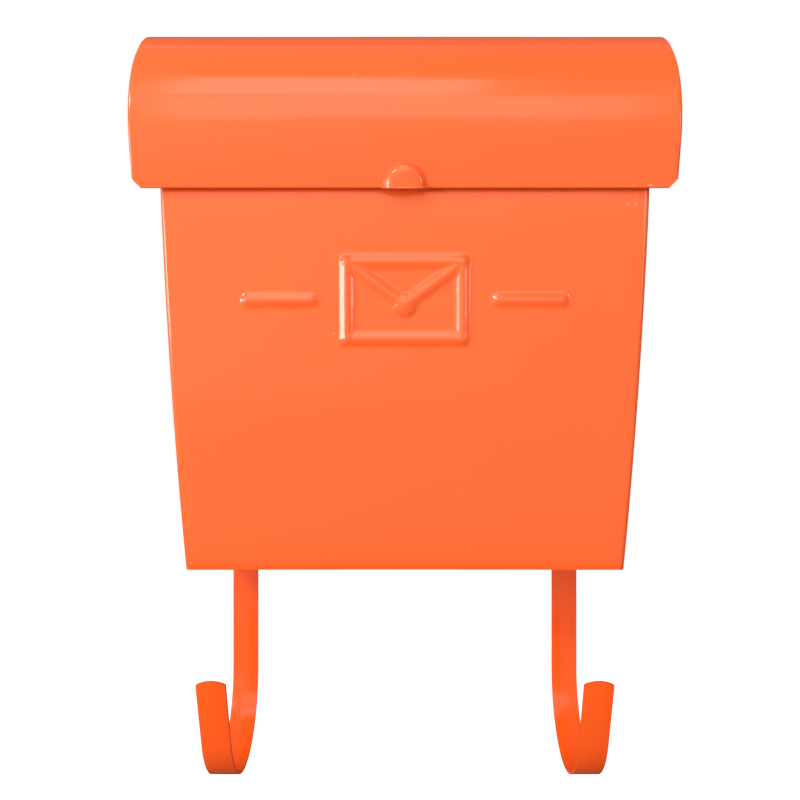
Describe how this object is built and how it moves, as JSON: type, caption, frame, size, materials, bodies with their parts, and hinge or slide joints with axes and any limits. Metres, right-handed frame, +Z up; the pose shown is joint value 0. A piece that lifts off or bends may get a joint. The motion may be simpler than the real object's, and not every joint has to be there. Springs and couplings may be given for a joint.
{
  "type": "wall mailbox",
  "caption": "Tapered sheet-steel wall mailbox with a rolled hinged lid, a pressed envelope design and flat bar hooks below for a newspaper.",
  "frame": {"origin": "middle of the four wall holes, on the wall plane that the back panel lies against", "axes": "+Z up, -Y out of the wall towards the viewer, +X to the right seen from the front"},
  "size_m": [0.289, 0.1176, 0.429],
  "materials": {
    "paint": "orange powder coat, satin gloss",
    "zinc": "zinc plated steel"
  },
  "bodies": {
    "box": {"back_panel": "paint", "body_wrap": "paint", "bottom_panel": "paint", "hinge_left_fixed_leaf": "zinc", "hinge_left_pin": "zinc", "hinge_right_fixed_leaf": "zinc", "hinge_right_pin": "zinc", "hinge_fixed_rivets": "zinc", "hook_left": "paint", "hook_right": "paint", "hook_rivets": "zinc"},
    "lid": {"lid_shell": "paint", "lid_end_left": "paint", "lid_end_right": "paint", "hinge_left_lid_leaf": "zinc", "hinge_right_lid_leaf": "zinc", "hinge_lid_rivets": "zinc"}
  },
  "joints": [
    {"name": "lid_hinge", "type": "hinge", "parent": "box", "child": "lid", "pos_m": [0, -0.00425, 0.13905], "axis": [-1, 0, 0], "range_deg": [0, 90]}
  ]
}
